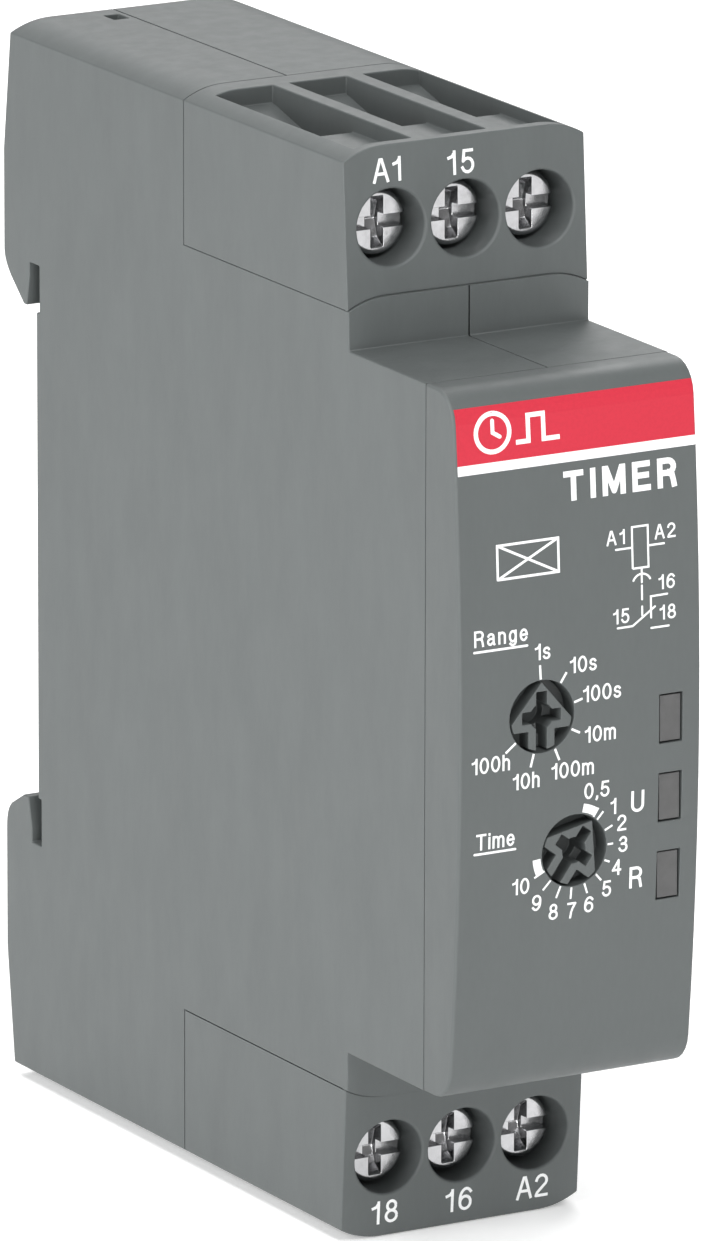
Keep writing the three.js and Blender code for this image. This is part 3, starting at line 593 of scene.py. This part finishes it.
def add_seam_lip(side):
    """A low ridge on the arched step that closes the joint under a terminal block against light."""
    bm = bmesh.new()
    view = bpy.context.evaluated_depsgraph_get()
    halves = [fine["housing_left"], fine["housing_right"]]
    down = Vector((0, 0, -side))
    rings = []
    for x in steps(-LIP_HALF, LIP_HALF, LIP_STEPS):
        start = Vector((x, LIP_Y[0], side * LIP_ABOVE))
        hits = [half.ray_cast(start, down, depsgraph=view) for half in halves]
        foot = max((place.z for found, place, _, _ in hits if found), key=lambda z: side * z)
        low, high = foot - side * LIP_HEIGHT, foot + side * LIP_HEIGHT
        corners = [(LIP_Y[0], low), (LIP_Y[1], low), (LIP_Y[1], high), (LIP_Y[0], high)]
        rings.append([bm.verts.new((x * LIP_STRETCH, y, z)) for y, z in corners])
    for before, after in zip(rings, rings[1:]):
        for k in range(len(before)):
            bm.faces.new([before[k], before[k - 1], after[k - 1], after[k]])
    bm.faces.new(rings[0])
    bm.faces.new(rings[-1][::-1])
    bmesh.ops.recalc_face_normals(bm, faces=bm.faces)
    name = "seam_lip_upper" if side > 0 else "seam_lip_lower"
    mesh = bpy.data.meshes.new(name)
    bm.to_mesh(mesh)
    bm.free()
    link_piece(name, mesh, "housing", MATERIALS["housing"])


# ---------------------------------------------------------------- print on the panel and the blocks

IN_FRONT = -100 * MM  # a place well in front of every face that is printed on
INK_PROUD = 0.012 * MM
INK_SUNK = 0.03 * MM
LINE = 0.15
FINE_LINE = 0.13
TIGHT_BEND = math.radians(100)
NO_BEND = 0.001
TEXT_HEIGHT = 1.05
TEXT_WEIGHT = 0.135
LETTER_GAP = 0.15
TERMINAL_HEIGHT = 1.56
TERMINAL_WEIGHT = 0.125
TERMINAL_GAP, TERMINAL_GAP_A = 0.24, 0.13  # an A leans away from the digit beside it


def bow(centre, radii, start, end, count=9):
    """Points on an ellipse, from one angle to another in degrees, counterclockwise from the right."""
    turns = [math.radians(start + (end - start) * k / count) for k in range(count + 1)]
    return [(centre[0] + radii[0] * math.cos(t), centre[1] + radii[1] * math.sin(t)) for t in turns]


ARCH = bow((0.19, 0.5), (0.19, 0.23), 180, 0)
SIX = [bow((0.25, 0.31), (0.25, 0.31), 0, 360, 18), bow((0.29, 0.46), (0.29, 0.54), 185, 45)]
GLYPHS = {  # centre lines of each letter's strokes, for a capital one unit high
    "0": [bow((0.25, 0.5), (0.25, 0.5), 0, 360, 24)],
    "1": [[(0.3, 0), (0.3, 1)], [(0.04, 0.74), (0.19, 0.79), (0.28, 0.93)]],
    "2": [bow((0.25, 0.73), (0.24, 0.27), 172, -35) + [(0.06, 0.16), (0, 0), (0.5, 0)]],
    "3": [bow((0.24, 0.76), (0.21, 0.24), 165, -90), bow((0.24, 0.27), (0.25, 0.27), 90, -165),
          [(0.15, 0.53), (0.25, 0.53)]],
    "4": [[(0.39, 0), (0.39, 1), (0, 0.3), (0.52, 0.3)]],
    "5": [[(0.45, 1), (0.09, 1), (0.04, 0.52)] + bow((0.24, 0.32), (0.25, 0.32), 135, -160, 12)],
    "6": SIX,
    "7": [[(0, 1), (0.49, 1), (0.31, 0.66), (0.21, 0.36), (0.16, 0)]],
    "8": [bow((0.25, 0.765), (0.2, 0.235), 0, 360, 18), bow((0.25, 0.265), (0.25, 0.265), 0, 360, 18)],
    "9": [[(0.5 - x, 1 - z) for x, z in line] for line in SIX],
    "A": [[(0, 0), (0.27, 1), (0.35, 1), (0.62, 0)], [(0.11, 0.34), (0.51, 0.34)]],
    "E": [[(0.48, 1), (0, 1), (0, 0), (0.5, 0)], [(0, 0.53), (0.44, 0.53)]],
    "I": [[(0, 0), (0, 1)]],
    "M": [[(0, 0), (0, 1), (0.05, 1), (0.34, 0.06), (0.63, 1), (0.68, 1), (0.68, 0)]],
    "R": [[(0, 0), (0, 1), (0.3, 1)] + bow((0.3, 0.745), (0.22, 0.255), 90, -90) + [(0, 0.49)],
          [(0.34, 0.49), (0.46, 0.4), (0.5, 0.2), (0.53, 0)]],
    "T": [[(0, 1), (0.56, 1)], [(0.28, 0), (0.28, 1)]],
    "U": [[(0, 1)] + bow((0.27, 0.3), (0.27, 0.3), 180, 360) + [(0.54, 1)]],
    "a": [bow((0.2, 0.53), (0.18, 0.2), 160, 0) + [(0.38, 0.1), (0.43, 0)],
          [(0.38, 0.42)] + bow((0.17, 0.2), (0.17, 0.2), 95, 275) + [(0.38, 0.16)]],
    "e": [[(0.02, 0.38), (0.42, 0.38)] + bow((0.21, 0.365), (0.21, 0.365), 10, 325, 16)],
    "g": [bow((0.2, 0.37), (0.2, 0.36), 0, 360, 18), [(0.4, 0.73)] + bow((0.2, -0.02), (0.2, 0.22), 0, -150)],
    "h": [[(0, 0), (0, 1)], ARCH + [(0.38, 0)]],
    "i": [[(0, 0), (0, 0.73)], [(0, 0.97), (0, 1)]],
    "m": [[(0, 0), (0, 0.73)], bow((0.17, 0.5), (0.17, 0.23), 180, 0) + [(0.34, 0)],
          bow((0.51, 0.5), (0.17, 0.23), 180, 0) + [(0.68, 0)]],
    "n": [[(0, 0), (0, 0.73)], ARCH + [(0.38, 0)]],
    "s": [bow((0.19, 0.55), (0.17, 0.18), 20, 250) + bow((0.19, 0.185), (0.19, 0.185), 70, -165)],
    ",": [[(0.03, 0.02), (0.03, -0.05), (-0.02, -0.16)]],
}


class Print:
    """Flat shapes in the front view, x and z in mm, laid on a moulded face as one thin sheet of ink."""

    def __init__(self, ground):
        self.ground = BVHTree.FromObject(ground, bpy.context.evaluated_depsgraph_get())
        self.points, self.faces = [], []

    def polygon(self, points):
        """A convex shape, given counterclockwise or clockwise."""
        points = [Vector(p) for p in points]
        area = sum(a.cross(b) for a, b in zip(points, points[1:] + points[:1]))
        first = len(self.points)
        self.points += points if area > 0 else points[::-1]
        self.faces.append(list(range(first, len(self.points))))

    def grid(self, x_stops, z_stops):
        for low, high in zip(z_stops, z_stops[1:]):
            for left, right in zip(x_stops, x_stops[1:]):
                self.polygon([(left, low), (right, low), (right, high), (left, high)])

    def disc(self, centre, radius, count=12):
        self.polygon(bow(centre, (radius, radius), 0, 360 - 360 / count, count - 1))

    def stroke(self, line, width=LINE, square=False):
        """A line of even width through the points, with mitred corners and round or square ends."""
        half, close = width / 2, width / 20
        path = [Vector(line[0])]
        for point in line[1:]:
            if (Vector(point) - path[-1]).length > close:
                path.append(Vector(point))
        for a, b in zip(path, path[1:]):
            side = (b - a).orthogonal().normalized() * half
            self.polygon([a + side, a - side, b - side, b + side])
        for before, at, after in zip(path, path[1:], path[2:]):
            self.corner(at, (at - before).normalized(), (after - at).normalized(), half)
        if (path[0] - path[-1]).length < close:
            return
        for end, inner in ((path[0], path[1]), (path[-1], path[-2])):
            out = (end - inner).normalized() * half
            side = out.orthogonal()
            if square:
                self.polygon([end + side, end - side, end + out - side, end + out + side])
            else:
                self.disc(end, half)

    def corner(self, at, come, go, half):
        """Fills the outside of a bend: a mitre, or a disc where the bend is too tight for one."""
        turn = come.angle(go)
        if turn > TIGHT_BEND:
            self.disc(at, half)
        elif turn > NO_BEND:
            outside = -1 if come.cross(go) > 0 else 1
            a, b = Vector((-come.y, come.x)) * outside, Vector((-go.y, go.x)) * outside
            tip = (a + b).normalized() * half / math.cos(turn / 2)
            self.polygon([at, at + a * half, at + tip, at + b * half])

    def ring(self, centre, radius, width, start=0, sweep=360, count=40):
        """A circle or an arc with square ends, in degrees clockwise from straight up."""
        spokes = bow((0, 0), (1, 1), 90 - start, 90 - start - sweep, count)
        at = Vector(centre)
        for a, b in zip(spokes, spokes[1:]):
            a, b = Vector(a), Vector(b)
            near, far = radius - width / 2, radius + width / 2
            self.polygon([at + a * near, at + b * near, at + b * far, at + a * far])

    def ticks(self, centre, rows, width=LINE):
        """Radial dashes: rows of (degrees clockwise from up, inner radius, outer radius)."""
        for degrees, near, far in rows:
            ray = Vector((math.sin(math.radians(degrees)), math.cos(math.radians(degrees))))
            self.stroke([Vector(centre) + ray * near, Vector(centre) + ray * far], width, square=True)

    def text(self, words, centre, height=TEXT_HEIGHT, weight=TEXT_WEIGHT, gap=LETTER_GAP):
        """Lettering centred on a point; height is that of a capital letter or a digit."""
        inset, scale = weight / 2, 1 - weight
        x, lines = 0, []
        for letter in words:
            strokes = GLYPHS[letter]
            low = min(0.0, *(p[0] for line in strokes for p in line))
            right = max(p[0] for line in strokes for p in line)
            lines += [[(x + px - low, inset + pz * scale) for px, pz in line] for line in strokes]
            x += right - low + weight + gap
        middle = (x - weight - gap) / 2
        for line in lines:
            placed = [
                (centre[0] + (px - middle) * height, centre[1] + (pz - 0.5) * height) for px, pz in line
            ]
            self.stroke(placed, weight * height, square=True)

    def on_ground(self, x, z, proud):
        hit = self.ground.ray_cast(Vector((x, IN_FRONT, z)), Vector((0, 1, 0)))[0]
        return hit.y - proud

    def finish(self, name, material, proud=INK_PROUD):
        """Joins all the shapes into one outline, and makes the sheet of it."""
        joined = delaunay_2d_cdt(self.points, [], self.faces, 1, 1e-5, True)
        places, _, triangles, _, _, sources = joined
        bm = bmesh.new()
        front = [bm.verts.new((p.x * MM, 0, p.y * MM)) for p in places]
        for triangle, source in zip(triangles, sources):
            if source:
                bm.faces.new([front[i] for i in triangle])
        bmesh.ops.delete(bm, geom=[v for v in front if not v.link_faces], context="VERTS")
        front = list(bm.verts)
        made = bmesh.ops.extrude_face_region(bm, geom=list(bm.faces), use_keep_orig=True)["geom"]
        back = [v for v in made if isinstance(v, bmesh.types.BMVert)]
        for vertices, lift in ((front, proud), (back, -INK_SUNK)):
            for vertex in vertices:
                vertex.co.y = self.on_ground(vertex.co.x, vertex.co.z, lift)
        bmesh.ops.recalc_face_normals(bm, faces=bm.faces)
        mesh = bpy.data.meshes.new(name)
        bm.to_mesh(mesh)
        bm.free()
        link_piece(name, mesh, "housing", material)


def steps(start, end, count):
    return [start + (end - start) * k / count for k in range(count + 1)]


BAND_X = [-8.54, *steps(-8.5, 8.5, 6), 8.56, 8.62, 8.68]
BAND_Z, BAND_ROWS = (18.3, 21.83), 60
RULE_Z, RULE_ROWS = (17.68, 18.3), 4
RANGE_AT, TIME_AT = (-2.8, 1.72), (-0.33, -7.31)
DIAL_EDGE = 2.48


def print_band(cap):
    band = Print(cap)
    band.grid(BAND_X, steps(*BAND_Z, BAND_ROWS))
    band.finish("red_band", RED_INK)
    rule = Print(cap)
    rule.grid(BAND_X, steps(*RULE_Z, RULE_ROWS))
    rule.finish("white_rule", WHITE_INK)


def print_pictogram(cap):
    """A clock face and a pulse line: a plain sign for a timer."""
    sign = Print(cap)
    clock = Vector((-5.95, 20.15))
    sign.ring(clock, 1.2, 0.3)
    sign.stroke([clock + Vector((0, 0.75)), clock, clock + Vector((0.5, -0.3))], 0.26)
    low, high = 19.35, 20.95
    wave = [(-4.15, low), (-3.4, low), (-3.4, high), (-2.3, high), (-2.3, low), (-1.3, low)]
    sign.stroke(wave, 0.3, square=True)
    sign.finish("timer_pictogram", WHITE_INK, INK_PROUD * 2)


def print_headings(cap):
    words = Print(cap)
    words.text("TIMER", (3.1, 16.15), 1.9, 0.2, 0.26)
    words.text("Range", (-5.74, 7.27), gap=0.21)
    words.stroke([(-7.68, 6.43), (-3.86, 6.43)])
    words.text("Time", (-6.1, -5.85))
    words.stroke([(-7.6, -6.62), (-4.65, -6.62)])
    words.text("U", (4.22, -4.71), 1.4)
    words.text("R", (4.22, -9.7), 1.4)
    words.finish("panel_headings", WHITE_INK)


def print_function_symbol(cap):
    sign = Print(cap)
    left, right, low, high = -5.9, -1.5, 10.85, 13.0
    border = [(left, low), (left, high), (right, high), (right, low), (left, low)]
    for line in (border, [(left, low), (right, high)], [(left, high), (right, low)]):
        sign.stroke(line, 0.16)
    sign.finish("function_symbol", WHITE_INK)


def print_range_dial(cap):
    dial = Print(cap)
    rows = [(-2.5, 3.25), (34, 3.1), (75, 2.95), (117, 3.0), (157, 3.15), (194.5, 3.2), (232.5, 3.25)]
    dial.ticks(RANGE_AT, [(a, DIAL_EDGE, far) for a, far in rows])
    labels = {
        "1s": (-2.77, 5.9), "10s": (0.17, 4.74), "100s": (1.53, 2.75), "10m": (1.41, 0.11),
        "100m": (-0.58, -1.96), "10h": (-3.95, -2.28), "100h": (-6.52, -0.9),
    }
    for words, centre in labels.items():
        dial.text(words, centre)
    dial.finish("range_scale", WHITE_INK)


def print_time_dial(cap):
    dial = Print(cap)
    rows = [(33.5, 3.0), (42, 3.0), (65, 2.95), (88.5, 2.75), (113, 2.75), (138, 2.95),
            (161, 3.05), (183.5, 3.1), (203, 3.15), (224, 3.15), (243.7, 3.15)]
    dial.ticks(TIME_AT, [(a, DIAL_EDGE, far) for a, far in rows], FINE_LINE)
    for start, end in ((12, 33), (244, 265)):
        dial.ring(TIME_AT, 2.76, 0.56, start, end - start, 8)
    labels = {
        "0,5": (1.22, -3.56), "1": (2.43, -4.8), "2": (3.09, -5.96), "3": (3.22, -7.38),
        "4": (2.79, -8.85), "5": (2.1, -10.16), "6": (0.83, -11.02), "7": (-0.41, -11.24),
        "8": (-1.75, -11.15), "9": (-2.99, -10.39), "10": (-4.2, -9.15),
    }
    for words, centre in labels.items():
        dial.text(words, centre)
    dial.finish("time_scale", WHITE_INK)


def print_wiring(cap):
    """Coil A1-A2 over a changeover contact 15-16-18."""
    plan = Print(cap)
    coil = [(3.85, 10.35), (3.85, 13.0), (5.0, 13.0), (5.0, 10.35), (3.85, 10.35)]
    coil_leads = [(2.66, 11.7), (3.79, 11.7)], [(5.08, 11.7), (6.16, 11.7)]
    for line in (coil, *coil_leads):
        plan.stroke(line, FINE_LINE)
    plan.ring((4.5, 9.28), 0.68, FINE_LINE, -68, 136, 10)
    linkage = [[(4.5, high), (4.5, low)] for high, low in ((10.3, 9.41), (9.2, 8.32), (7.86, 7.28))]
    break_contact = [(6.33, 8.45), (5.14, 8.43), (5.14, 7.07)]
    lever = [(2.7, 6.68), (3.79, 6.69), (5.43, 7.75)]
    make_contact = [(5.15, 6.4), (6.42, 6.4)]
    for line in (*linkage, break_contact, lever, make_contact):
        plan.stroke(line, FINE_LINE)
    labels = {
        "A1": (2.66, 12.48), "A2": (6.26, 12.48),
        "16": (6.29, 9.25), "15": (2.95, 7.42), "18": (6.34, 7.3),
    }
    for words, centre in labels.items():
        plan.text(words, centre, 0.95, gap=0.21)
    plan.finish("wiring_plan", WHITE_INK)


def print_terminal_labels():
    labels = {
        "terminal_block_upper": {"A1": (-5.62, 34.08), "15": (-0.3, 34.0)},
        "terminal_block_lower": {"18": (-5.6, -34.1), "16": (-0.15, -34.1), "A2": (5.35, -34.05)},
    }
    for node, words in labels.items():
        sheet = Print(fine[node])
        for text, centre in words.items():
            gap = TERMINAL_GAP if text.isdigit() else TERMINAL_GAP_A
            sheet.text(text, centre, TERMINAL_HEIGHT, TERMINAL_WEIGHT, gap)
        sheet.finish(node.replace("block", "labels"), WHITE_INK)


def print_everything():
    cap = fine["front_cap"]
    print_band(cap)
    print_pictogram(cap)
    print_headings(cap)
    print_function_symbol(cap)
    print_range_dial(cap)
    print_time_dial(cap)
    print_wiring(cap)
    print_terminal_labels()


make_camera()
make_studio()
fine = make_all_rounded()
seat_spring()
add_seam_lip(1)
add_seam_lip(-1)
print_everything()
